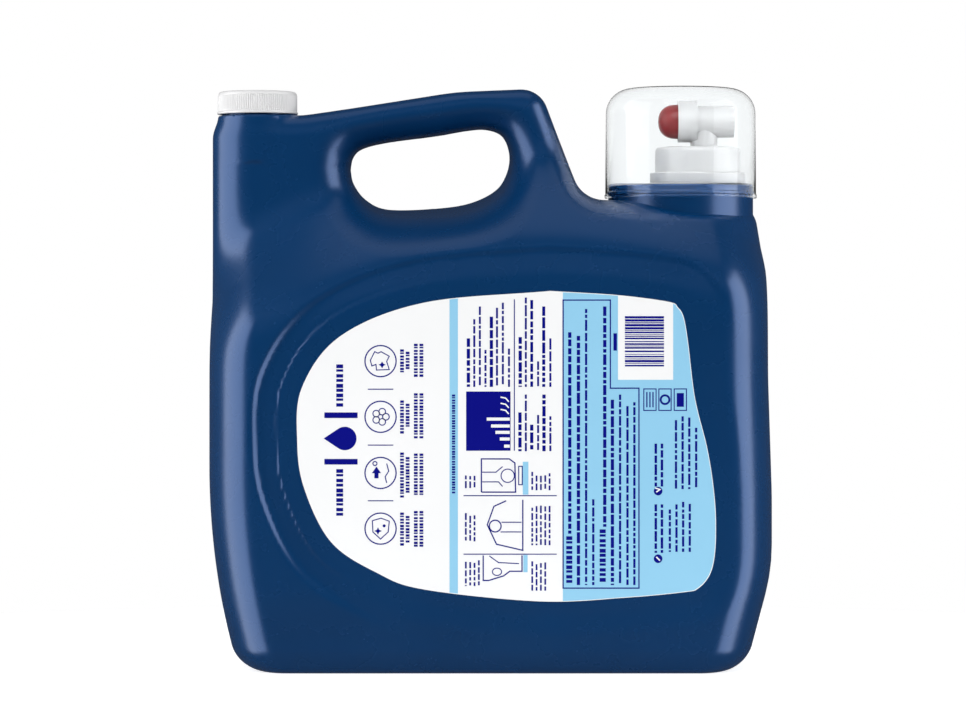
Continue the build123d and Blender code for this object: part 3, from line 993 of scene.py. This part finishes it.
def print_front_label():
    """The far side carries plain fields of colour: two rolling waves, a disc and a few rules."""
    sky_ink = Print("front_print_sky", ink_blue, 0.0, 1)
    ink = Print("front_print_navy", ink_navy, 0.03, 1)
    white_ink = Print("front_print_white", ink_white, 0.06, 1)
    whole = label_part(-half_width, half_width, 0.3)
    sky_ink.solid(below_wave(whole, 84, 16, 40))
    ink.solid(below_wave(whole, 66, 13, 62))
    ink.disc(700, 470, 190, 72)
    white_ink.ring(700, 470, 160, 12, count=72)
    draw_drop(white_ink, 700, 488, 62, turned=True)
    for v, reach in ((300, 190), (360, 230), (420, 210)):
        sky_ink.box(1130 - reach / 2, v, 1130 + reach / 2, v + 22)
    for piece in (sky_ink, ink, white_ink):
        piece.finish()


# --- stage -------------------------------------------------------------------------------------------
def make_floor():
    """A round pale floor under the bottle."""
    count, radius = 96, 0.55
    turns = [2 * pi * i / count for i in range(count)]
    floor = bpy.data.meshes.new("floor")
    floor.from_pydata([(radius * cos(t), radius * sin(t), 0) for t in turns], [], [tuple(range(count))])
    piece = bpy.data.objects.new("floor", floor)
    bpy.context.scene.collection.objects.link(piece)
    pale, tree, shader = node_material("pale_floor", (0.55, 0.55, 0.55), 0.8,
                                       Emission_Color=(1, 1, 1, 1), Emission_Strength=0.80)
    vary_roughness(tree, shader, add_noise(tree, 3.0), 0.75, 0.85)
    floor.materials.append(pale)
    piece.visible_glossy = False
    piece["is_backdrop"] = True


def area_light(name, place, target, width, height, radiance, mirrored=True):
    data = bpy.data.lights.new(name, "AREA")
    data.shape = "RECTANGLE"
    data.size, data.size_y = width, height
    data.energy = radiance * pi * width * height
    lamp = bpy.data.objects.new(name, data)
    bpy.context.scene.collection.objects.link(lamp)
    lamp.location = place
    lamp.visible_glossy = mirrored
    aim = Vector(target) - lamp.location
    lamp.rotation_euler = aim.to_track_quat("-Z", "Y").to_euler()


def make_world():
    """White where it is seen, and dim where it lights the bottle."""
    world = bpy.data.worlds.new("studio")
    bpy.context.scene.world = world
    world.use_nodes = True
    tree = world.node_tree
    back = tree.nodes["Background"]
    back.inputs["Color"].default_value = (1, 1, 1, 1)
    path = tree.nodes.new("ShaderNodeLightPath")
    seen = tree.nodes.new("ShaderNodeMath")
    seen.operation = "MAXIMUM"
    tree.links.new(path.outputs["Is Camera Ray"], seen.inputs[0])
    tree.links.new(path.outputs["Is Transmission Ray"], seen.inputs[1])
    strength = tree.nodes.new("ShaderNodeMapRange")
    strength.inputs["To Min"].default_value = 0.06
    strength.inputs["To Max"].default_value = 1.0
    tree.links.new(seen.outputs[0], strength.inputs["Value"])
    tree.links.new(strength.outputs["Result"], back.inputs["Strength"])


def make_lights():
    middle = (0, 0, 0.15)
    area_light("left_box", (-1.1, -0.27, 0.3), (0, -0.1, 0.3), 1.2, 1.9, 3.0)
    area_light("right_box", (1.1, -0.33, 0.3), (0, -0.1, 0.3), 0.9, 1.9, 3.3)
    area_light("high_fill", (0, -1.5, 1.6), middle, 1.7, 1.3, 4.7, mirrored=False)
    area_light("top_box", (0, 0.1, 1.5), middle, 1.2, 0.8, 0.4)
    make_world()
    bpy.context.scene.view_settings.view_transform = "Standard"


def make_camera():
    data = bpy.data.cameras.new("camera")
    data.lens = 160.3
    data.sensor_width = 36
    camera = bpy.data.objects.new("camera", data)
    bpy.context.scene.collection.objects.link(camera)
    camera.location = (-0.0039, -2.236, 0.1583)
    camera.rotation_euler = (pi / 2, 0, 0)
    bpy.context.scene.camera = camera


make_camera()
make_floor()
make_lights()
finish_cad_nodes()
make_body()
make_vent_neck()
make_collar()
make_vent_cap()
make_cup()
make_closure()
make_button()
make_return_spring()
make_label("back_film", "back_label", -1)
make_label("front_film", "front_label", 1)
print_back_label()
print_front_label()

boxes = {"cad": cad_bounds, "visual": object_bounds()}
{k: [[float(v) for v in corner] for corner in box] for k, box in boxes.items()}
